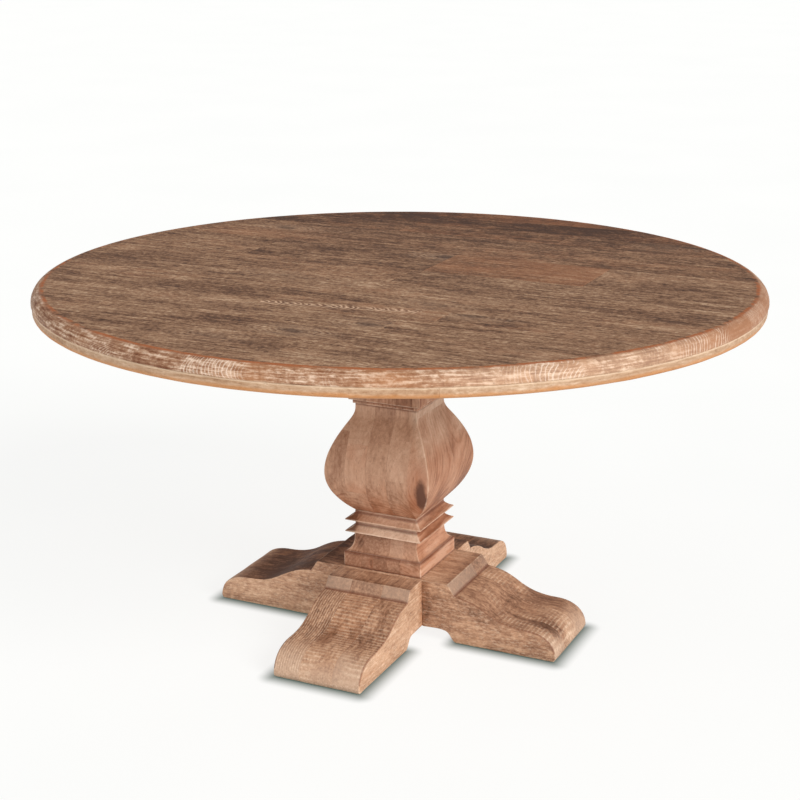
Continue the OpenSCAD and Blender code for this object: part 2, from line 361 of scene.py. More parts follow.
def make_piece(name, bm, material, nodes, attributes, holes=()):
    """Turns a mesh into a piece of the visual model that stands for its CAD nodes."""
    mesh = bpy.data.meshes.new(name)
    for face in bm.faces:
        face.smooth = True
    bmesh.ops.recalc_face_normals(bm, faces=bm.faces[:])
    bm.to_mesh(mesh)
    bm.free()
    piece = add_object(name, mesh)
    bored(piece, holes)
    piece.data.set_sharp_from_angle(angle=SMOOTH_UP_TO)
    paint(piece.data, **attributes)
    piece.data.materials.append(material)
    weighted = piece.modifiers.new("shading", "WEIGHTED_NORMAL")
    weighted.keep_sharp = True
    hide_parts(*nodes)
    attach(piece, "root")


def rod_hole(low, high):
    """Hole for the tie rod, right through a piece of the column or base."""
    return (0, 0, low.z - 10 * MM, high.z + 10 * MM, BORE_R)


def dowel_holes():
    low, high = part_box("base_dowels")
    return [(x * DOWEL_AT, y * DOWEL_AT, low.z, high.z, DOWEL_R) for x in (-1, 1) for y in (-1, 1)]


# ---------- materials ----------

def srgb(r, g, b):
    """A colour as the eye names it, 0 to 255, in the shader's linear values."""
    return tuple(((c / 255 + 0.055) / 1.055) ** 2.4 if c > 10 else c / 3295 for c in (r, g, b))


class Nodes:
    """The node tree of one material. Colours go in as the eye names them, 0 to 255."""

    def __init__(self, name, colour):
        self.material = bpy.data.materials.new(name)
        self.material.use_nodes = True
        self.material.diffuse_color = (*srgb(*colour), 1)
        self.tree = self.material.node_tree
        self.shader = self.tree.nodes["Principled BSDF"]
        self.signals = SimpleNamespace()

    def node(self, kind, inputs, **settings):
        made = self.tree.nodes.new("ShaderNode" + kind)
        for key, value in settings.items():
            setattr(made, key, value)
        for key, value in inputs.items():
            self.put(made.inputs[key], value)
        return made

    def put(self, socket, value):
        """Links a signal to a socket, or stores a constant on it."""
        if isinstance(value, bpy.types.NodeSocket):
            self.tree.links.new(value, socket)
        else:
            socket.default_value = value

    def attribute(self, name):
        return self.node("Attribute", {}, attribute_name=name).outputs["Vector"]

    def place(self):
        return self.node("TexCoord", {}).outputs["Object"]

    def split(self, vector):
        return self.node("SeparateXYZ", {0: vector}).outputs[:]

    def join(self, x=0.0, y=0.0, z=0.0):
        return self.node("CombineXYZ", {0: x, 1: y, 2: z}).outputs[0]

    def math(self, operation, a, b=0.0):
        return self.node("Math", {0: a, 1: b}, operation=operation).outputs[0]

    def times(self, value, *factors):
        for factor in factors:
            value = self.math("MULTIPLY", value, factor)
        return value

    def weigh(self, total, *pairs, **weights):
        """Adds weighted signals to a total: the wood's own by name, others as pairs."""
        named = ((getattr(self.signals, key), weight) for key, weight in weights.items())
        for signal, weight in (*named, *pairs):
            total = self.node("Math", {0: signal, 1: weight, 2: total}, operation="MULTIPLY_ADD").outputs[0]
        return total

    def vector(self, operation, a, b=(0, 0, 0)):
        return self.node("VectorMath", {0: a, 1: b}, operation=operation).outputs["Vector"]

    def length(self, vector):
        return self.node("VectorMath", {0: vector}, operation="LENGTH").outputs["Value"]

    def noise(self, at, scale, detail=2.0, roughness=0.5):
        """Noise with one scale, or with its own scale on each axis."""
        scales = scale if isinstance(scale, tuple) else (scale, scale, scale)
        settings = {"Scale": 1.0, "Detail": detail, "Roughness": roughness}
        return self.node("TexNoise", {"Vector": self.vector("MULTIPLY", at, scales), **settings}).outputs

    def grain_noise(self, at, scale, detail=2.0, roughness=0.5):
        """Noise between about -0.5 and 0.5."""
        return self.math("SUBTRACT", self.noise(at, scale, detail, roughness)["Fac"], 0.5)

    def wander(self, at, along, across, detail, amount):
        """A vector that wanders across the grain by up to half an amount."""
        colour = self.noise(at, (along, across, across), detail)["Color"]
        centred = self.vector("SUBTRACT", colour, (0.5, 0.5, 0.5))
        return self.vector("MULTIPLY", centred, (0.0, amount, amount))

    def rise(self, value, low, high, to_low=0.0, to_high=1.0):
        """A smooth step from one value to another."""
        span = {"From Min": low, "From Max": high, "To Min": to_low, "To Max": to_high}
        step = self.node("MapRange", {"Value": value, **span}, interpolation_type="SMOOTHSTEP")
        return step.outputs["Result"]

    def fall(self, value, low, high, top=1.0):
        """A smooth step down to 0."""
        return self.rise(value, low, high, top, 0.0)

    def pulse(self, phase, centre, half):
        """1 once in each turn of a phase, where its fraction is near a centre, else 0."""
        turned = self.math("FRACT", phase)
        return self.times(self.rise(turned, centre - half, centre), self.fall(turned, centre, centre + half))

    def ramp(self, value, *stops):
        """Colour stops given as (place, colour)."""
        made = self.node("ValToRGB", {"Fac": value})
        band = made.color_ramp
        while len(band.elements) < len(stops):
            band.elements.new(0.5)
        for element, (place, colour) in zip(band.elements, stops):
            element.position = place
            element.color = (*srgb(*colour), 1)
        return made.outputs["Color"]

    def mix(self, factor, a, b, strength=1.0):
        """Lays colour b over colour a where the factor is high."""
        if strength != 1.0:
            factor = self.times(factor, strength)
        a, b = ((*srgb(*c), 1) if isinstance(c, tuple) else c for c in (a, b))
        # The node's colour sockets are 6 and 7, and 2 on its way out
        return self.node("Mix", {0: factor, 6: a, 7: b}, data_type="RGBA").outputs[2]

    def layers(self, colour, *layers):
        """Lays tints over a colour, each given as (mask, tint) or (mask, tint, strength)."""
        for mask, *tint in layers:
            colour = self.mix(mask, colour, *tint)
        return colour

    def shade(self, inputs):
        """Puts signals and constants on the shader's own sockets."""
        for key, value in inputs.items():
            self.put(self.shader.inputs[key], value)

    def finish(self, colour, roughness, height, distance, specular=0.5):
        bump = self.node("Bump", {"Height": height, "Distance": distance, "Strength": 1.0})
        self.shade({"Base Color": colour, "Roughness": roughness, "Normal": bump.outputs["Normal"],
                    "Specular IOR Level": specular})
        return self.material


KNOT_R = 30 * MM
KNOT_RING = 6 * MM
RIPPLE = 6 * MM
KNOT_SWELL = 20 * MM

# Noise in every worn wood: scale along the grain and across it, detail and roughness
WOOD_NOISE = {
    "streak": (5.0, 110.0, 3.0, 0.55), "thread": (24.0, 230.0, 2.0, 0.6),
    "speck": (110.0, 150.0, 3.0, 0.7), "dash": (60.0, 700.0, 1.0, 0.5),
    "cloud": (3.0, 9.0, 2.0, 0.5), "patch": (11.0, 30.0, 2.0, 0.6), "mottle": (32.0, 44.0, 3.0, 0.6),
}


def wood_signals(n, ring, wander):
    """What worn woods share: look, knots, rings, and noise drawn out along the grain."""
    seed, tone, warmth = n.split(n.attribute("look"))
    here = n.attribute("grain")
    at = n.vector("ADD", here, n.join(n.times(seed, 7.3), n.times(seed, 3.1), n.times(seed, 5.7)))
    knot_x, knot_y, knot_on = n.split(n.attribute("knot"))
    knot_far = n.length(n.join(n.times(knot_x, 0.45), knot_y))
    eye = n.times(n.fall(knot_far, 0.0, KNOT_R), knot_on)

    bent = n.vector("ADD", here, n.wander(at, 2.6, 9.0, 2.0, wander))
    bent = n.vector("ADD", bent, n.wander(at, 16.0, 30.0, 1.0, RIPPLE))
    y, z = n.split(bent)[1:]
    depth = n.weigh(n.length(n.join(0.0, y, z)), (eye, KNOT_SWELL))
    phase = n.weigh(n.math("DIVIDE", depth, ring), (seed, 3.0))
    saw = n.math("FRACT", phase)
    year = n.node("TexWhiteNoise", {"W": n.math("FLOOR", phase)}, noise_dimensions="1D")
    late = n.times(n.rise(saw, 0.35, 0.90), n.fall(saw, 0.90, 1.0),
                   n.rise(year.outputs["Value"], 0.0, 1.0, 0.35, 1.0))

    noises = {name: n.grain_noise(at, (along, across, across), detail, roughness)
              for name, (along, across, detail, roughness) in WOOD_NOISE.items()}
    n.signals = SimpleNamespace(tone=tone, warmth=warmth, here=here, at=at, late=late,
                                knot_far=knot_far, knot_on=knot_on, **noises)
    return n.signals


FLAME_PITCH = 13.5 * MM
FLAME_HALF = 17 * MM
FLAME_LEAN = 0.9


def flame_marks(n, w):
    """Light and dark chevrons of the flame figure, as two masks."""
    along, across, on = n.split(n.attribute("figure"))
    side = n.math("ABSOLUTE", n.weigh(across, patch=14 * MM))
    uneven = n.grain_noise(w.at, (45.0, 20.0, 20.0))
    along = n.weigh(along, (side, FLAME_LEAN), (uneven, 34 * MM), mottle=14 * MM)
    phase = n.math("DIVIDE", along, FLAME_PITCH)
    here = n.times(on, n.fall(n.weigh(side, (uneven, 20 * MM)), 0.3 * FLAME_HALF, FLAME_HALF))
    light = n.times(n.pulse(phase, 0.35, 0.34), n.rise(w.speck, -0.25, 0.05, 0.45, 1.0))
    return n.times(light, here), n.times(n.pulse(phase, 0.85, 0.24), here)


def knot_marks(n, w):
    """The dark heart of a knot and the pale rings round it, as two masks."""
    far = n.weigh(w.knot_far, mottle=10 * MM, thread=4 * MM)
    heart = n.fall(far, 0.2 * KNOT_R, 0.6 * KNOT_R)
    near = n.fall(far, 0.9 * KNOT_R, 1.7 * KNOT_R)
    rings = n.pulse(n.math("DIVIDE", far, KNOT_RING), 0.5, 0.35)
    return n.times(heart, w.knot_on), n.times(rings, near, w.knot_on)


LIME_LINES = 620
LIME_BEND = 14 * MM


def limed_arcs(n, w, x, y, z, around):
    """Thin arcs across the rounded edge, in groups: growth rings filled with lime wax."""
    height = n.math("DIVIDE", n.math("SUBTRACT", z, BOARD_Z), LIME_BEND)
    place = n.join(x, y, n.times(z, 0.2))
    slant = n.grain_noise(place, 5.0, 1.0)
    uneven = n.grain_noise(place, 34.0)
    phase = n.weigh(n.times(around, LIME_LINES / (2 * math.pi)), (n.times(slant, height), 9.0),
                    (n.times(height, height), -0.7), (uneven, 3.0))
    group = n.rise(n.grain_noise(place, 9.0, 1.0), -0.05, 0.09)
    return n.times(n.pulse(phase, 0.5, 0.24), group, n.rise(w.mottle, -0.20, 0.08))


def board_face(n, w):
    """The flat top: greyed brown, warmer in clouds, with knots and the flame figure."""
    value = n.weigh(0.52, tone=0.13, streak=0.76, thread=0.56, speck=1.25, cloud=0.55, patch=0.60,
                    mottle=0.44, late=-0.08)
    colour = n.ramp(value, (0.10, (70, 43, 28)), (0.34, (110, 76, 54)), (0.52, (142, 106, 79)),
                    (0.70, (164, 128, 99)), (0.92, (202, 170, 140)))
    warm = n.rise(n.weigh(0.0, warmth=0.5, cloud=1.2, mottle=0.9), -0.05, 0.75)
    heart, rings = knot_marks(n, w)
    light, dark = flame_marks(n, w)
    return n.layers(colour, (warm, (156, 98, 62), 0.55), (rings, (206, 172, 142), 0.40),
                    (heart, (66, 42, 32), 0.60), (light, (230, 192, 160), 0.88), (dark, (84, 52, 36), 0.55))


def board_edge(n, w, x, y, z):
    """The rounded edge: limed tan, with a painted highlight on its part towards +X, and browner on the end
    grain.
    """
    around = n.math("ARCTAN2", x, n.times(y, -1.0))
    drawn = n.grain_noise(n.join(n.times(around, TOP_R), z), (16.0, 250.0, 1.0), 3.0, 0.6)
    value = n.weigh(0.46, (drawn, 1.9), tone=0.05, mottle=1.0, speck=1.0, cloud=0.6)
    colour = n.ramp(value, (0.12, (116, 70, 44)), (0.5, (163, 123, 95)), (0.85, (222, 194, 170)))
    orange = n.rise(w.cloud, 0.0, 0.25, 0.0, 0.6)
    # Painted highlight: paler towards +X, the side the key light falls on
    painted_highlight = n.rise(x, 0.40 * TOP_R, 0.65 * TOP_R, 0.0, 0.28)
    end_grain = n.rise(n.math("ABSOLUTE", x), 0.86 * TOP_R, TOP_R, 0.0, 0.8)
    return n.layers(colour, (orange, (180, 122, 78)), (painted_highlight, (230, 192, 160)),
                    (end_grain, (160, 108, 74)), (limed_arcs(n, w, x, y, z, around), (240, 218, 198), 0.62))


EDGE_R = 25 * MM
RIM_EASE = 8 * MM
RIM_W = 85 * MM


def top_wood():
    """Boards: greyed on the flat, rubbed to orange on the arris and limed round the edge."""
    n = Nodes("top_wood", (140, 108, 86))
    w = wood_signals(n, 7.5 * MM, 30 * MM)
    x, y, z = n.split(n.place())
    rough_r = n.weigh(n.length(n.join(x, y)), patch=6 * MM, thread=5 * MM, mottle=6 * MM)
    flat_end = TOP_R - EDGE_R
    edge = n.rise(rough_r, flat_end + 2 * MM, flat_end + 9 * MM)
    arris = n.times(n.rise(rough_r, flat_end - 3 * MM, flat_end + 1 * MM),
                    n.fall(rough_r, flat_end + 4 * MM, flat_end + 10 * MM))
    colour = n.mix(edge, board_face(n, w), board_edge(n, w, x, y, z))
    rubbing = n.weigh(0.0, patch=1.0, cloud=0.8, mottle=0.7, speck=0.5)
    rust = n.times(arris, n.rise(rubbing, -0.16, 0.14, 0.1, 0.95))
    pores = n.rise(w.dash, 0.12, 0.24)
    colour = n.layers(colour, (rust, (166, 94, 52)), (pores, (82, 54, 38), 0.35))
    roughness = n.weigh(0.66, (edge, -0.06), thread=0.3, patch=0.2)
    height = n.weigh(0.0, (pores, -0.5), thread=0.5, streak=0.5, late=0.2)
    return n.finish(colour, roughness, height, 0.5 * MM, 0.25)


def rim_wood():
    """Second layer of the edge: golden tan, pale at its joint and orange at its foot."""
    n = Nodes("rim_wood", (200, 150, 105))
    w = wood_signals(n, 6 * MM, 22 * MM)
    x, y, z = n.split(n.place())
    value = n.weigh(0.5, tone=0.10, streak=0.6, thread=0.5, speck=0.5, cloud=0.35, late=-0.06)
    colour = n.ramp(value, (0.15, (134, 94, 62)), (0.42, (174, 136, 104)), (0.62, (192, 158, 128)),
                    (0.88, (220, 192, 164)))
    foot = n.fall(n.weigh(z, patch=8 * MM), RIM_Z + 4 * MM, RIM_Z + 12 * MM, 0.7)
    outer = n.rise(n.length(n.join(x, y)), RIM_R - 26 * MM, RIM_R - 10 * MM, 0.3, 1.0)
    joint = n.rise(n.weigh(z, thread=3 * MM), BOARD_Z - 5 * MM, BOARD_Z - 2 * MM)
    pores = n.rise(w.dash, 0.13, 0.25)
    colour = n.layers(colour, (n.times(foot, outer), (198, 130, 70)), (joint, (232, 206, 176), 0.5),
                      (pores, (120, 76, 48), 0.35))
    height = n.weigh(0.0, (pores, -0.5), thread=0.5, late=0.3)
    return n.finish(colour, n.weigh(0.62, thread=0.25), height, 0.4 * MM, 0.3)


SAW_ALONG = 5.5 * MM
SAW_ACROSS = 8.5 * MM


def saw_lines(n, w, marks):
    """Rough-sawn lines: along the beam where the mark is negative, across it where positive."""
    along, across = n.split(w.here)[:2]
    ridge = n.pulse(n.weigh(n.math("DIVIDE", across, SAW_ALONG), cloud=1.2), 0.5, 0.34)
    cross = n.pulse(n.weigh(n.math("DIVIDE", along, SAW_ACROSS), mottle=0.5, cloud=1.2), 0.5, 0.34)
    ridge = n.times(ridge, n.fall(marks, -1.0, -0.2))
    cross = n.times(cross, n.rise(marks, 0.2, 1.0))
    field = n.rise(n.weigh(w.cloud, patch=0.6), -0.10, 0.14)
    shown = n.math("MAXIMUM", field, n.times(marks, -1.0))
    broken = n.rise(w.speck, -0.20, 0.10, 0.3, 1.0)
    return n.times(n.math("ADD", ridge, cross), broken, shown)


def sawn_finish(n, w, marks, colour, height, pale):
    """Pale saw lines on the faces that look up, and pale flecks on those that don't."""
    up = n.rise(n.split(n.node("NewGeometry", {}).outputs["Normal"])[2], 0.1, 0.4)
    lines = n.times(saw_lines(n, w, marks), up)
    colour = n.mix(lines, colour, pale, 0.42)
    flecks = n.rise(n.grain_noise(w.at, (95.0, 300.0, 300.0), 2.0, 0.7), 0.00, 0.16)
    colour = n.mix(n.times(flecks, n.math("SUBTRACT", 1.0, up)), colour, pale, 0.26)
    return colour, n.weigh(height, (lines, 0.6))


def turned_wood(name, stops, warm_tint, pale, weights, rubbing, rough_sawn):
    """Column and base: rubbed tan, pale on the worn corners and darker in the hollows with dirt and painted
    shade.
    """
    n = Nodes(name, stops[1][1])
    w = wood_signals(n, 7 * MM, 36 * MM)
    corner, hollow, marks = n.split(n.attribute("worn"))
    warm_only = n.math("MAXIMUM", w.warmth, 0.0)
    w.figured = n.times(w.patch, warm_only)
    w.ringed = n.times(w.late, warm_only)
    colour = n.ramp(n.weigh(0.5, tone=0.16, late=-0.05, ringed=-0.24, **weights), *stops)
    height = n.weigh(0.0, thread=0.5, speck=0.4, late=0.2)
    warm = n.rise(n.weigh(0.0, warmth=0.6, cloud=1.1, mottle=0.8), -0.1, 0.8)
    greyed = n.fall(n.weigh(w.warmth, cloud=0.8), -1.0, -0.3, 0.5)
    colour = n.layers(colour, (warm, warm_tint, 0.5), (greyed, (192, 164, 142)))
    if rough_sawn:
        colour, height = sawn_finish(n, w, marks, colour, height, pale)
    far = n.weigh(w.knot_far, mottle=16 * MM, thread=4 * MM)
    halo = n.times(n.fall(far, 0.3 * KNOT_R, 1.2 * KNOT_R, 0.5), w.knot_on)
    heart = n.times(n.fall(far, 0.22 * KNOT_R, 0.52 * KNOT_R, 0.72), w.knot_on)
    pores = n.rise(w.dash, 0.12, 0.25)
    rubbed = n.rise(n.weigh(corner, mottle=0.35, patch=0.35), 0.78, 0.98)
    sawn = n.rise(n.math("ABSOLUTE", marks), 0.3, 0.9)
    stained = n.rise(n.weigh(corner, patch=0.4), 0.72, 0.92)
    # Dirt and painted shade in the hollows, concave corners and glued seams
    grime_and_shade = n.rise(n.weigh(hollow, mottle=0.5), 0.45, 0.95)
    colour = n.layers(colour, (halo, (172, 104, 70)), (heart, (84, 50, 38)), (pores, (104, 64, 44), 0.4),
                      (n.times(rubbed, n.fall(sawn, 0.0, 1.0, rubbing)), pale),
                      (n.times(stained, sawn), (112, 64, 42), 0.6), (grime_and_shade, (104, 54, 36), 0.65))
    roughness = n.weigh(0.64, (rubbed, 0.05), thread=0.25, patch=0.2)
    return n.finish(colour, roughness, n.weigh(height, (pores, -0.5)), 0.5 * MM, 0.3)


COLUMN_WOOD = {
    "stops": ((0.12, (104, 66, 46)), (0.36, (158, 114, 88)), (0.54, (190, 147, 119)),
              (0.72, (207, 167, 140)), (0.92, (228, 196, 170))),
    "warm_tint": (190, 122, 84), "pale": (244, 216, 190), "rubbing": 0.40, "rough_sawn": False,
    "weights": {"streak": 0.24, "thread": 0.26, "speck": 0.38, "cloud": 0.46, "patch": 0.20,
                "mottle": 0.18, "figured": 1.3},
}
BASE_WOOD = {
    "stops": ((0.12, (92, 60, 42)), (0.36, (148, 108, 83)), (0.54, (184, 142, 112)),
              (0.72, (206, 168, 138)), (0.92, (234, 204, 176))),
    "warm_tint": (196, 136, 94), "pale": (240, 214, 186), "rubbing": 0.24, "rough_sawn": True,
    "weights": {"streak": 0.34, "thread": 0.44, "speck": 0.62, "cloud": 0.34, "patch": 0.34,
                "mottle": 0.34},
}


def plain_wood(name, along, dark, middle, light):
    """Planed, unstained wood with its grain along one axis."""
    n = Nodes(name, middle)
    place = n.place()
    scales = [5.0 if axis == along else 150.0 for axis in range(3)]
    streak = n.grain_noise(place, tuple(scales), 3.0, 0.6)
    fibre = n.grain_noise(place, tuple(5 * s for s in scales))
    cloud = n.grain_noise(place, 6.0)
    value = n.weigh(0.5, (streak, 0.9), (fibre, 0.4), (cloud, 0.5))
    colour = n.ramp(value, (0.2, dark), (0.5, middle), (0.85, light))
    roughness = n.weigh(0.62, (streak, 0.3), (fibre, 0.2))
    return n.finish(colour, roughness, n.weigh(0.0, (fibre, 0.6), (streak, 0.4)), 0.3 * MM)


def plated_metal(name, colour, shade, base_roughness):
    """Plated or machined metal: cloudy tone, fine turning lines and scuffs."""
    n = Nodes(name, colour)
    place = n.place()
    cloud = n.grain_noise(place, 60.0, 3.0, 0.6)
    lines = n.grain_noise(place, (90.0, 90.0, 1800.0), 1.0)
    scuff = n.rise(n.grain_noise(place, 400.0, 2.0, 0.7), 0.08, 0.25)
    tint = n.mix(n.rise(n.weigh(cloud, (scuff, 0.2)), -0.2, 0.3), colour, shade)
    n.shade({"Metallic": 1.0})
    roughness = n.weigh(base_roughness, (cloud, 0.3), (scuff, 0.15))
    return n.finish(tint, roughness, n.weigh(0.0, (lines, 0.6), (cloud, 0.4)), 0.1 * MM)


def felt():
    """Dense wool felt: short matted hairs and a darker nap in patches."""
    n = Nodes("felt", (96, 88, 80))
    place = n.place()
    hair = n.grain_noise(place, 900.0, 3.0, 0.7)
    mat = n.grain_noise(place, 120.0)
    colour = n.ramp(n.weigh(0.5, (hair, 0.8), (mat, 0.6)),
                    (0.2, (62, 56, 50)), (0.55, (98, 90, 82)), (0.9, (138, 130, 120)))
    n.shade({"Sheen Weight": 0.4})
    return n.finish(colour, n.weigh(0.9, (mat, 0.2)), hair, 0.5 * MM)


# ---------- tabletop ----------

# Tone (dark to light) and warmth (grey to orange) of each board; the low tones of the back rows 12 to 14 are
# painted shade, darker away from the lights
BOARD_LOOK = {
    "01_1": (0.2, -0.1), "02_1": (0.0, 0.0), "02_2": (0.2, -0.1), "03_1": (0.3, 0.0),
    "04_1": (0.2, -0.1), "04_2": (0.2, 0.1), "05_1": (0.0, -0.1), "05_2": (0.3, 0.3),
    "05_3": (0.2, 0.1), "06_1": (0.0, 0.0), "07_1": (0.1, -0.2), "07_2": (0.2, 0.0),
    "08_1": (0.1, 0.2), "08_2": (0.1, -0.2), "09_1": (-0.1, 0.0), "09_2": (-0.9, -0.4),
    "09_3": (0.1, 1.0), "09_4": (0.2, 0.0), "10_1": (-0.3, 0.4), "11_1": (-0.6, 0.0),
    "12_1": (-1.5, 0.1), "12_2": (-1.1, 0.5), "12_3": (-1.2, 0.2), "13_1": (-2.2, 0.3), "14_1": (-2.6, 0.7),
}

# Boards with a knot: how far along and across the board it lies, from 0 to 1, and how strong it is
BOARD_KNOT = {"03_1": (0.52, 0.46, 1.0), "04_1": (0.96, 0.45, 0.9), "11_1": (0.16, 0.2, 1.0),
              "05_3": (0.10, 0.9, 0.8), "09_2": (0.98, 0.82, 1.2), "07_2": (0.10, 0.6, 0.4),
              "12_3": (0.55, 0.5, 0.5), "06_1": (0.62, 0.5, 0.5), "02_1": (0.72, 0.5, 0.5)}

# Board with the flame figure: where its line starts and ends, along and across the board
BOARD_FLAME = {"05_2": ((0.0, 0.20), (0.84, 0.76))}

GLUE_LINE = 0.5 * MM
WAVE = 28 * MM
WORN_RIM = 35 * MM
ON_CIRCLE = 3 * MM


def even_look(*look):
    """One seed, tone and warmth for a whole piece."""
    return lambda *corner: look


def board_attributes(name, dice):
    """Grain, look, knot and figure of one board, as functions of place."""
    low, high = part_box("top_board_" + name)
    seed = dice.random() * 9
    pith_y = low.y + (high.y - low.y) * dice.uniform(0.2, 0.8)
    pith_z = TOP_Z - dice.uniform(25, 70) * MM
    tilt_y, tilt_z = dice.uniform(-0.03, 0.03), dice.uniform(-0.03, 0.03)
    attributes = {
        "grain": lambda co, *rest: (co.x, co.y - pith_y + tilt_y * co.x, co.z - pith_z + tilt_z * co.x),
        "look": even_look(seed, *BOARD_LOOK[name]),
    }

    def spot(along, across):
        return Vector((low.x + along * (high.x - low.x), low.y + across * (high.y - low.y)))

    if name in BOARD_KNOT:
        *place, strength = BOARD_KNOT[name]
        eye = spot(*place)
        attributes["knot"] = lambda co, *rest: (co.x - eye.x, co.y - eye.y, strength)
    if name in BOARD_FLAME:
        start, end = (spot(*place) for place in BOARD_FLAME[name])
        line = (end - start).normalized()

        def figure(co, centre, normal):
            offset = co.xy - start
            along = offset.dot(line)
            shown = normal.z > 0.5 and along < (end - start).length
            return (along, offset.cross(line), 1.0 if shown else 0.0)
        attributes["figure"] = figure
    return attributes


def arc(x, z, radius, start, end, steps):
    """Round stretch of a profile, between two angles in degrees."""
    angles = (math.radians(start + (end - start) * k / steps) for k in range(steps + 1))
    return [(x + radius * math.cos(a), z + radius * math.sin(a)) for a in angles]


def top_profile():
    """(radius, z) from the middle of the upper face to the middle of the lower face."""
    flat_end = TOP_R - EDGE_R
    return [(0, TOP_Z), (flat_end - 12 * MM, TOP_Z), (flat_end - 4 * MM, TOP_Z),
            *arc(flat_end, TOP_Z - EDGE_R, EDGE_R, 90, 0, 10),
            (TOP_R - 0.8 * MM, BOARD_Z), (TOP_R - RIM_W, BOARD_Z), (0, BOARD_Z)]


def on_circle(low, high, axis, place):
    """True if a board's box ends there only because the round edge does."""
    other = 1 - axis
    nearest = 0.0 if low[other] <= 0 <= high[other] else min(abs(low[other]), abs(high[other]))
    return abs(math.hypot(place, nearest) - TOP_R) < ON_CIRCLE


def build_boards(material):
    """Every board is cut out of one turned disc, so the round edge runs on between them."""
    dice = random.Random(7)
    disc = lathe(top_profile(), closed=False)

    def near_edge(co):
        return max(0.0, (math.hypot(co.x, co.y) - (TOP_R - WORN_RIM)) / WORN_RIM)

    for node in BOARDS:
        name = node[len("top_board_"):]
        low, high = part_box(node)
        bm = disc.copy()
        for axis in (0, 1):
            for place, sign in ((low[axis], -1), (high[axis], 1)):
                if abs(place) < TOP_R - ON_CIRCLE and not on_circle(low, high, axis, place):
                    normal = along_axis(axis, sign)
                    keep_below(bm, normal * sign * place, normal)
        ease_cuts(bm, GLUE_LINE)
        slice_at(bm, 0, even_cuts(low.x, high.x, 40 * MM))
        slice_at(bm, 1, even_cuts(low.y, high.y, 30 * MM))
        roughen(bm, WAVE, 0.35 * MM, near_edge)
        make_piece("board_" + name, bm, material, [node], board_attributes(name, dice))
    disc.free()


def rim_profile():
    """Closed (radius, z) section of the rim, with its lower outer corner eased."""
    inner, eased = RIM_R - RIM_W, RIM_R - RIM_EASE
    return [(inner, BOARD_Z), (inner, RIM_Z + 2 * MM), (inner + 2 * MM, RIM_Z), (eased - 20 * MM, RIM_Z),
            *arc(eased, RIM_Z + RIM_EASE, RIM_EASE, -90, 0, 6),
            (RIM_R, BOARD_Z - 5 * MM), (RIM_R, BOARD_Z - 1 * MM), (RIM_R - 0.8 * MM, BOARD_Z)]


def rim_attributes(middle, dice):
    """Straight grain across the middle of a rim segment, and one look."""
    seed, depth = dice.random() * 9, dice.uniform(20, 50) * MM
    tone = dice.uniform(-0.5, 0.5)

    def grain(co, centre, normal):
        along = -co.x * math.sin(middle) + co.y * math.cos(middle)
        out = co.x * math.cos(middle) + co.y * math.sin(middle)
        return (along, co.z - RIM_Z - depth, out - RIM_R + 0.3 * RIM_W)
    return {"grain": grain, "look": even_look(seed, tone, 0.0)}


def build_rim(material):
    dice = random.Random(11)
    ring = lathe(rim_profile(), closed=True)
    span = 2 * math.pi / len(RIMS)
    for k, node in enumerate(RIMS):
        bm = ring.copy()
        start, end = k * span, (k + 1) * span
        keep_below(bm, Vector(), Vector((math.sin(start), -math.cos(start), 0)))
        keep_below(bm, Vector(), Vector((-math.sin(end), math.cos(end), 0)))
        ease_cuts(bm, GLUE_LINE)
        roughen(bm, WAVE, 0.3 * MM)
        make_piece(f"rim_{k + 1}", bm, material, [node],
                   rim_attributes((start + end) / 2, dice))
    ring.free()


# ---------- column ----------

SKIN_STEP = 9 * MM
OUTLINE_STEP = 5 * MM
URN_FOOT_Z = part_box(LAYERS[2])[0].z
URN_FOOT_FADE = 90 * MM
URN_KNOT = Vector((103, -88, 328)) * MM
CORNER_FADE = 26 * MM
SHOULDER_Z = 396 * MM
SHOULDER_FADE = 35 * MM
# Painted shade on the fins: the look of their -X faces, their darkening towards -X and their dark far corner
FIN_SHADED_SIDE = (-3.4, 0.0)
FIN_FADE = 85 * MM
FIN_CORNER_X = -60 * MM
FIN_CORNER_FADE = 9 * MM
FIN_CORNER_SHADE = -4.2
CAPITAL_DARK = (30 * MM, 66 * MM)
CAPITAL_DARK_TONE = -1.6
PLINTH_KNOT = Vector((-26, -90, 146)) * MM


def upright_grain(shift_x, shift_y):
    """Grain that stands upright, with its pith beside the piece."""
    return lambda co, *rest: (co.z, co.x - shift_x + 0.03 * co.z, co.y - shift_y - 0.02 * co.z)


def level_grain(shift, height):
    """Grain that runs level along Y, so its ends show on the faces across Y."""
    return lambda co, *rest: (co.y, co.x - shift + 0.02 * co.y, co.z - height - 0.02 * co.y)


def urn_grain(shift_x, shift_y):
    """Upright grain, but the face towards +X shows a slanting figure."""
    upright = upright_grain(shift_x, shift_y)

    def grain(co, centre, normal):
        if normal.x < 0.5:
            return upright(co)
        return (0.8 * co.z + 0.6 * co.y, 0.8 * co.y - 0.6 * co.z + 0.2, 0.6 * co.x)
    return grain


def staves(joints, dice, spread, heights=(), shade=None):
    """A look that changes from stave to stave along X and from block to block up each stave."""
    looks = [[(dice.random() * 9, dice.uniform(-spread, spread), dice.uniform(-0.5, 0.5))
              for _ in range(len(heights) + 1)] for _ in range(len(joints) + 1)]

    def look(co, centre, normal):
        column = sum(centre.x > j for j in joints)
        block = sum(centre.z > h for h in heights)
        seed, tone, warmth = looks[column][block]
        more_tone, more_warmth = shade(co, normal)
        return (seed, tone + more_tone, warmth + more_warmth)
    return look


def urn_knot(co, centre, normal):
    """A dark, red-edged knot low on the -Y face, beside the near corner."""
    return (0.8 * (co.z - URN_KNOT.z), 0.8 * (co.x - URN_KNOT.x), 1.2 if normal.y < -0.5 else 0.0)


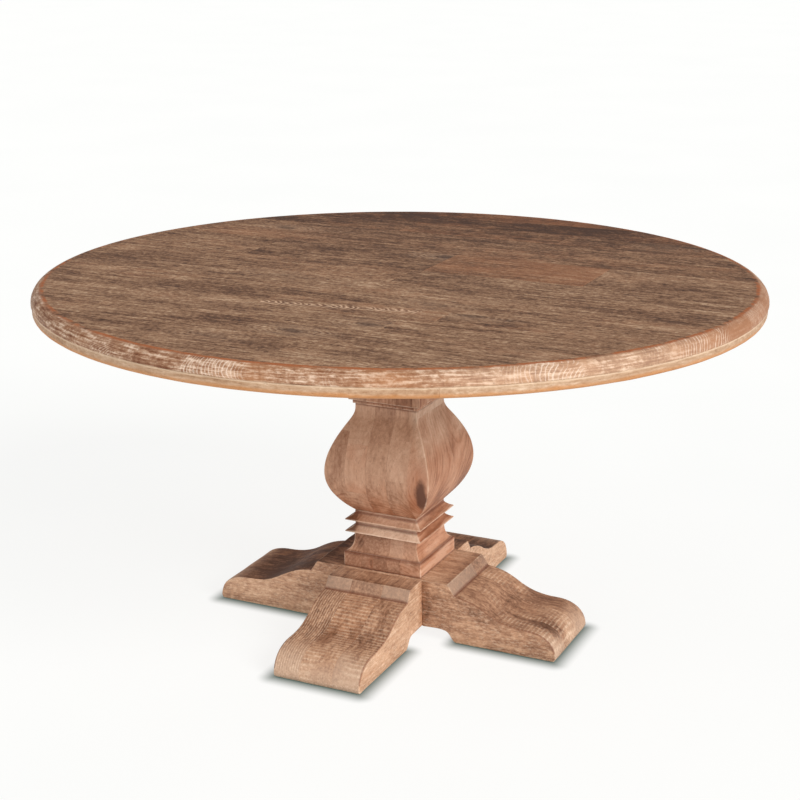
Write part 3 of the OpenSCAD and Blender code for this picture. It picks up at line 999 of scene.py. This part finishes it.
def plinth_knot(co, centre, normal):
    """A small dark streak on the -Y face of the plinth block."""
    shown = centre.y < PLINTH_KNOT.y / 2
    return (3.0 * (co.z - PLINTH_KNOT.z), 4.0 * (co.x - PLINTH_KNOT.x), 0.6 if shown else 0.0)


def urn_shade(co, normal):
    """The face towards +X is warmer, the foot is redder, and beside the near corner the -Y face is paler and
    greyer, a painted highlight.
    """
    right = max(0.0, normal.x)
    redder = fade(co.z - URN_FOOT_Z, URN_FOOT_FADE)
    # Painted highlight beside the near corner on the -Y face
    painted_highlight = min(1.0, fade(-co.x - co.y, CORNER_FADE)) * (1 - redder) if normal.y < -0.5 else 0.0
    shoulder = grow(co.z - SHOULDER_Z, SHOULDER_FADE) * right
    tone = 0.4 - 0.3 * right - 1.15 * redder + 0.5 * painted_highlight + 1.9 * shoulder
    return (tone, 0.45 * right + 1.3 * redder * (1 - right) - 0.8 * painted_highlight - 0.3 * shoulder)


def fin_shade(tone, warmth, plus_x, end_shade):
    """A fin has its own look on the +X face, and painted shade towards and on its -X face, darkest at its
    far -X corner.
    """
    def shade(co, normal):
        if normal.x > 0.3:
            return plus_x
        if normal.x < -0.3:
            return FIN_SHADED_SIDE
        corner = grow(FIN_CORNER_X - co.x, FIN_CORNER_FADE)
        return (tone - end_shade * max(0.0, -co.x) / FIN_FADE + FIN_CORNER_SHADE * corner, warmth)
    return shade


def block_shade(co, normal):
    """The face towards +X shows warmer long grain and is lighter, as painted light; the -Y face, which is
    end grain, is darker, as painted shade.
    """
    right = max(0.0, normal.x)
    return (0.6 * right - 0.4 * max(0.0, -normal.y), 1.1 * right)


def capital_shade(co, normal):
    """As the other blocks, with one dark stave near its +X end."""
    tone, warmth = block_shade(co, normal)
    return (tone + CAPITAL_DARK_TONE if CAPITAL_DARK[0] < co.x < CAPITAL_DARK[1] else tone, warmth)


def build_urn(material):
    """The urn is shaped as one solid, then parted into its upright layers."""
    dice = random.Random(23)
    bm = square_solid(smoothed(column_outline(*LAYERS), OUTLINE_STEP))
    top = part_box(LAYERS[2])[1]
    arris, recess = (sharp_lines(bm, convex, (top.z,)) for convex in (True, False))
    round_corners(bm, 2.5 * MM)
    for axis in (0, 1):
        slice_at(bm, axis, even_cuts(-top.y, top.y, SKIN_STEP))
    for index, node in enumerate(LAYERS):
        low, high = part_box(node)
        part = bm.copy()
        if low.x > -top.y + 1 * MM:
            keep_below(part, Vector((low.x, 0, 0)), Vector((-1, 0, 0)))
        if high.x < top.y - 1 * MM:
            keep_below(part, Vector((high.x, 0, 0)), Vector((1, 0, 0)))
        ease_cuts(part, 0.4 * MM)
        heights = sorted(dice.uniform(low.z + 40 * MM, high.z - 30 * MM) for _ in range(2))
        if node == LAYERS[-1]:
            heights = []
        slice_at(part, 2, groove_cuts(heights, 0.4 * MM))
        sink_joints(part, 2, heights, 0.25 * MM)
        roughen(part, 30 * MM, 0.4 * MM)
        shift = (low.x + high.x) / 2 + dice.uniform(-30, 30) * MM
        attributes = {"grain": urn_grain(shift, dice.uniform(-60, 60) * MM),
                      "look": staves([], dice, 0.4, heights, urn_shade),
                      "knot": urn_knot, "arris": arris, "recess": recess}
        holes = [rod_hole(low, high)] if low.x < 0 < high.x else []
        make_piece(f"urn_{index + 1}", part, material, [node], attributes, holes)
    bm.free()


def build_moulding(node, material, dice, radius, joints, upright, glued, shade):
    """One square moulding, rounded on its corners, divided into cells and slightly worn."""
    low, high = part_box(node)
    if upright:
        grain = upright_grain(dice.uniform(-40, 40) * MM, dice.uniform(-40, 40) * MM)
    else:
        grain = level_grain(dice.uniform(20, 60) * MM, low.z - dice.uniform(20, 40) * MM)
    bm = square_solid(smoothed(column_outline(node), OUTLINE_STEP))
    seams = (high.z, low.z) if glued else ()
    arris, recess = (sharp_lines(bm, convex, seams) for convex in (True, False))
    round_corners(bm, radius)
    for axis in (0, 1):
        slice_at(bm, axis, even_cuts(low[axis], high[axis], SKIN_STEP))
    slice_at(bm, 0, groove_cuts(joints, 0.5 * MM))
    sink_joints(bm, 0, joints, 0.35 * MM)
    roughen(bm, 30 * MM, 0.35 * MM)
    attributes = {"grain": grain, "look": staves(joints, dice, 0.8, shade=shade),
                  "arris": arris, "recess": recess}
    holes = [rod_hole(low, high)]
    if node == "plinth_block":
        attributes["knot"] = plinth_knot
        holes += dowel_holes()
    make_piece(node + "_wood", bm, material, [node], attributes, holes)


def build_column(material):
    """Each moulding with its corner radius, glue joints, upright grain, glued seams and shade."""
    dice = random.Random(31)
    block_joints = (-50 * MM, 12 * MM, 43 * MM)
    specs = (
        ("capital", 1.5 * MM, (-41 * MM, *CAPITAL_DARK), True, False, capital_shade),
        # The fins' high tones lighten their slopes as painted light; the lower fin's pale grey slope is a
        # painted highlight
        ("upper_fin", 0.7 * MM, (), False, False, fin_shade(1.7, -0.3, (1.2, 0.3), 1.8)),
        ("lower_fin", 0.7 * MM, (), False, False, fin_shade(2.2, -0.9, (-0.3, 1.2), 0.6)),
        ("collar", 1.2 * MM, block_joints, False, True, block_shade),
        ("plinth_block", 1.8 * MM, block_joints, False, True, block_shade),
    )
    for node, *spec in specs:
        build_moulding(node, material, dice, *spec)


# ---------- base ----------

# The top of each beam's far end, towards -X on base_beam_x and +Y on base_beam_y, is darkened as painted
# shadow, as if cast by the tabletop; drift changes its tone along its length
BEAMS = {
    "base_beam_x": SimpleNamespace(
        across=1, seed=41, side_tone=0.15, side_warmth=0.2, deck_tone=0.85, scroll_tone=0.35,
        hollow_tone=-0.45, shadow_sign=-1, shadow_tone=-2.6, drift=-0.6),
    # The high side_tone of base_beam_y is painted light on its sides, as on the side the key light falls on
    "base_beam_y": SimpleNamespace(
        across=0, seed=43, side_tone=0.7, side_warmth=0.5, deck_tone=0.05, scroll_tone=-0.3,
        hollow_tone=-0.8, shadow_sign=1, shadow_tone=-1.5, drift=0.0),
}
BEAM_JOINTS = (0.30, 0.68)
BEAM_STEP = 10 * MM
INNER_CORNER = 20 * MM
INNER_CORNER_SHADE = (-1.5, 0.8)
SHADOW_FADE = 60 * MM
DECK_RIM = 24 * MM
DECK_RIM_TONE = -1.2
LIP_TONE = -0.7
LIP_W = 16 * MM
TOE_TONE = 0.7
TOE_FADE = 80 * MM
HOLLOW_R = 278 * MM
HOLLOW_FADE = 50 * MM
TOE_STAIN = Vector((362, -42)) * MM
TOE_STAIN_R = 52 * MM
TOE_STAIN_TONE = -2.2
SAWN_FROM_Z = 20 * MM


def beam_solid(node, across, joints):
    """A foot beam: its outline carried across, corners rounded and faces divided."""
    low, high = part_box(node)
    outline = smoothed(side_outline(node, across), 6 * MM, closed=True)
    bm = extruded_solid(outline, across, low[across], high[across])
    arris, recess = (sharp_lines(bm, convex) for convex in (True, False))
    round_corners(bm, 2.2 * MM)
    slice_at(bm, across, even_cuts(low[across], high[across], BEAM_STEP))
    slice_at(bm, across, groove_cuts(joints, 0.5 * MM))
    for axis in (1 - across, 2):
        slice_at(bm, axis, even_cuts(low[axis], high[axis], BEAM_STEP))
    sink_joints(bm, across, joints, 0.35 * MM)
    roughen(bm, 34 * MM, 0.45 * MM)
    deck_end = max(abs(u) for u, z in outline if z > high.z - 1 * MM)
    return bm, arris, recess, deck_end


def beam_look(node, joints, deck_end, looks):
    """Look by stave, then by side face (painted shade in its inner corner), deck, lip, and scroll with its
    hollow and toe; painted shadow darkens the top of the far end.
    """
    beam = BEAMS[node]
    across, along = beam.across, 1 - beam.across
    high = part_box(node)[1]
    end, half = high[along], high[across]

    def look(co, centre, normal):
        seed, tone, warmth = looks[sum(centre[across] > j for j in joints)]
        out = abs(co[along])
        tone += beam.drift * co[along] / end
        if abs(normal[across]) > 0.7:
            # Painted shade in the inner corner where the beams cross: darker and warmer
            inner = fade(abs(out - half), INNER_CORNER)
            return (seed, tone + beam.side_tone + INNER_CORNER_SHADE[0] * inner,
                    warmth + beam.side_warmth + INNER_CORNER_SHADE[1] * inner)
        # Painted shadow of the tabletop over the top of the far end
        if normal.z > 0.3 and co[along] * beam.shadow_sign > 0:
            tone += beam.shadow_tone * grow(out, deck_end) * grow(end - out, SHADOW_FADE)
        if normal.z > 0.95 and centre.z > high.z - 4 * MM:
            rim = fade(deck_end - out, DECK_RIM)
            return (seed, tone + beam.deck_tone + rim * DECK_RIM_TONE, warmth - 0.2)
        if deck_end - 1 * MM < abs(centre[along]) < deck_end + LIP_W:
            return (seed, tone + LIP_TONE, warmth - 0.8)
        toe = fade(end - out, TOE_FADE)
        hollow = fade(abs(out - HOLLOW_R), HOLLOW_FADE)
        stained = fade((co.xy - TOE_STAIN).length, TOE_STAIN_R)
        tone += beam.scroll_tone + toe * TOE_TONE + hollow * beam.hollow_tone + stained * TOE_STAIN_TONE
        return (seed, tone, warmth - 0.9 * toe * (1 - stained))
    return look


def build_beam(node, material):
    """A foot beam of three glued staves, rough-sawn on its scrolls."""
    beam = BEAMS[node]
    dice = random.Random(beam.seed)
    across, along = beam.across, 1 - beam.across
    low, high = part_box(node)
    joints = [low[across] + share * (high[across] - low[across]) for share in BEAM_JOINTS]
    bm, arris, recess, deck_end = beam_solid(node, across, joints)
    looks = [(dice.random() * 9, dice.uniform(-0.25, 0.25), dice.uniform(-0.3, 0.3)) for _ in range(3)]
    piths = [dice.uniform(-30, 30) * MM for _ in range(3)]

    def grain(co, centre, normal):
        stave = sum(centre[across] > j for j in joints)
        return (co[along], co[across] - piths[stave] + 0.02 * co[along], co.z + 30 * MM)

    def marks(co):
        """Saw marks on the scrolls, outside the lip: lengthwise on the first stave, else across."""
        if abs(co[along]) < deck_end + LIP_W or co.z < SAWN_FROM_Z or co[along] * beam.shadow_sign > 0:
            return 0.0
        return -1.0 if co[across] < joints[0] and across == 0 else 1.0

    holes = [rod_hole(low, high)]
    if node == "base_beam_y":
        pocket_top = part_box("rod_washers")[0].z + 3 * MM
        holes.append((0, 0, 0, pocket_top, WASHER_R + 2 * MM))
    else:
        holes += dowel_holes()
    attributes = {"grain": grain, "look": beam_look(node, joints, deck_end, looks),
                  "arris": arris, "recess": recess, "marks": marks}
    make_piece(node + "_wood", bm, material, [node], attributes, holes)


# ---------- carried-over CAD nodes ----------

def dress_cad_nodes():
    """Materials for the nodes that keep their CAD meshes."""
    pine = ((150, 110, 72), (190, 152, 108), (216, 184, 140))
    beech = ((178, 138, 92), (208, 172, 124), (228, 198, 152))
    along_x = plain_wood("plain_wood_x", 0, *pine)
    along_y = plain_wood("plain_wood_y", 1, *pine)
    steel = plated_metal("zinc_steel", (206, 208, 210), (168, 172, 176), 0.34)
    brass = plated_metal("insert_brass", (214, 178, 104), (176, 138, 70), 0.32)
    finishes = {
        "bearer_x": along_x, "bearer_y": along_y, "batten_left": along_y, "batten_right": along_y,
        "mounting_plate": along_x, "base_dowels": plain_wood("dowel_wood", 2, *beech),
        "threaded_inserts": brass, "felt_pads": felt(),
    }
    for name in ("tie_rod", "rod_nuts", "rod_washers", "plate_bolts", "bolt_washers",
                 "bearer_screws", "batten_screws", "plate_screws"):
        finishes[name] = steel
    for name, material in finishes.items():
        mesh = NODES[name].data
        mesh.materials.clear()
        mesh.materials.append(material)


# ---------- studio ----------

FLOOR_SIZE = 60
SHADOW_R = 40 * MM
CREVICE = 24 * MM


def sole_distance(n, out, aside, name, along):
    """Distance on the floor from the nearer flat sole of one beam."""
    low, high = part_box(name)
    reach = [abs(v.co[along]) for v in NODES[name].data.vertices if v.co.z < low.z + 0.5 * MM]
    start, end = min(reach), max(reach)
    from_middle = n.math("ABSOLUTE", n.math("SUBTRACT", out, (start + end) / 2))
    past_end = n.math("SUBTRACT", from_middle, (end - start) / 2)
    past_side = n.math("SUBTRACT", aside, high[1 - along])
    return n.length(n.join(n.math("MAXIMUM", past_end, 0.0), n.math("MAXIMUM", past_side, 0.0)))


def build_stage():
    """White floor that glows evenly like a lit sweep, with a painted shadow tight round where the feet touch
    and in the narrow gaps under them.
    """
    n = Nodes("studio_floor", (243, 243, 243))
    place = n.place()
    x, y = n.split(n.vector("ABSOLUTE", place))[:2]
    near = n.math("MINIMUM", sole_distance(n, x, y, "base_beam_x", 0),
                  sole_distance(n, y, x, "base_beam_y", 1))
    open_sky = n.node("AmbientOcclusion", {"Distance": CREVICE}, samples=8).outputs["AO"]
    # Painted contact shadow: the glow darkens to grey-green near the soles and where the floor is closed in
    light = n.times(n.rise(near, -0.2 * SHADOW_R, SHADOW_R), n.rise(open_sky, 0.0, 0.7))
    cloud = n.rise(n.grain_noise(place, 1.2), -0.3, 0.3)
    n.shade({"Base Color": n.mix(cloud, (106, 108, 106), (112, 113, 111)),
             "Emission Color": n.mix(light, (76, 94, 87), (255, 255, 254)),
             "Emission Strength": 0.84, "Roughness": 0.9, "Specular IOR Level": 0.1})
    mesh = bpy.data.meshes.new("studio_floor")
    corners = [(x * FLOOR_SIZE, y * FLOOR_SIZE, 0) for x, y in ((-1, -1), (1, -1), (1, 1), (-1, 1))]
    mesh.from_pydata(corners, [], [(0, 1, 2, 3)])
    mesh.materials.append(n.material)
    floor = add_object("studio_floor", mesh)


def sun(name, azimuth, elevation, strength, softness):
    """Soft light from a direction: azimuth 0 is -Y and 90 is +X."""
    light = bpy.data.lights.new(name, "SUN")
    light.energy = strength
    light.angle = math.radians(softness)
    lamp = add_object(name, light)
    lamp.rotation_euler = Euler((math.radians(90 - elevation), 0, math.radians(azimuth)))


def build_lights(ambient):
    world = bpy.data.worlds.new("studio")
    world.use_nodes = True
    background = world.node_tree.nodes["Background"]
    background.inputs["Color"].default_value = (1.0, 1.0, 1.0, 1)
    background.inputs["Strength"].default_value = ambient
    bpy.context.scene.world = world
    bpy.context.scene.view_settings.view_transform = "Standard"
    sun("key", azimuth=70, elevation=30, strength=2.6, softness=30)
    sun("fill", azimuth=-20, elevation=25, strength=0.8, softness=60)


def build_camera(azimuth, pitch, distance, height, lens):
    """Camera that looks down at the Z axis: azimuth 0 is -Y and 90 is +X."""
    data = bpy.data.cameras.new("camera")
    data.sensor_width = 36
    data.lens = lens
    data.clip_end = 200
    camera = add_object("camera", data)
    turned = math.radians(azimuth)
    camera.location = (math.sin(turned) * distance, -math.cos(turned) * distance, height)
    camera.rotation_euler = (math.radians(90 - pitch), 0, turned)
    bpy.context.scene.camera = camera


# ---------- the table ----------

build_camera(azimuth=25.04, pitch=16.72, distance=3.333, height=1.4907, lens=73.9)
build_lights(ambient=0.40)
build_stage()
build_boards(top_wood())
build_rim(rim_wood())
column_wood = turned_wood("column_wood", **COLUMN_WOOD)
base_wood = turned_wood("base_wood", **BASE_WOOD)
build_urn(column_wood)
build_column(column_wood)
for beam in BEAMS:
    build_beam(beam, base_wood)
dress_cad_nodes()
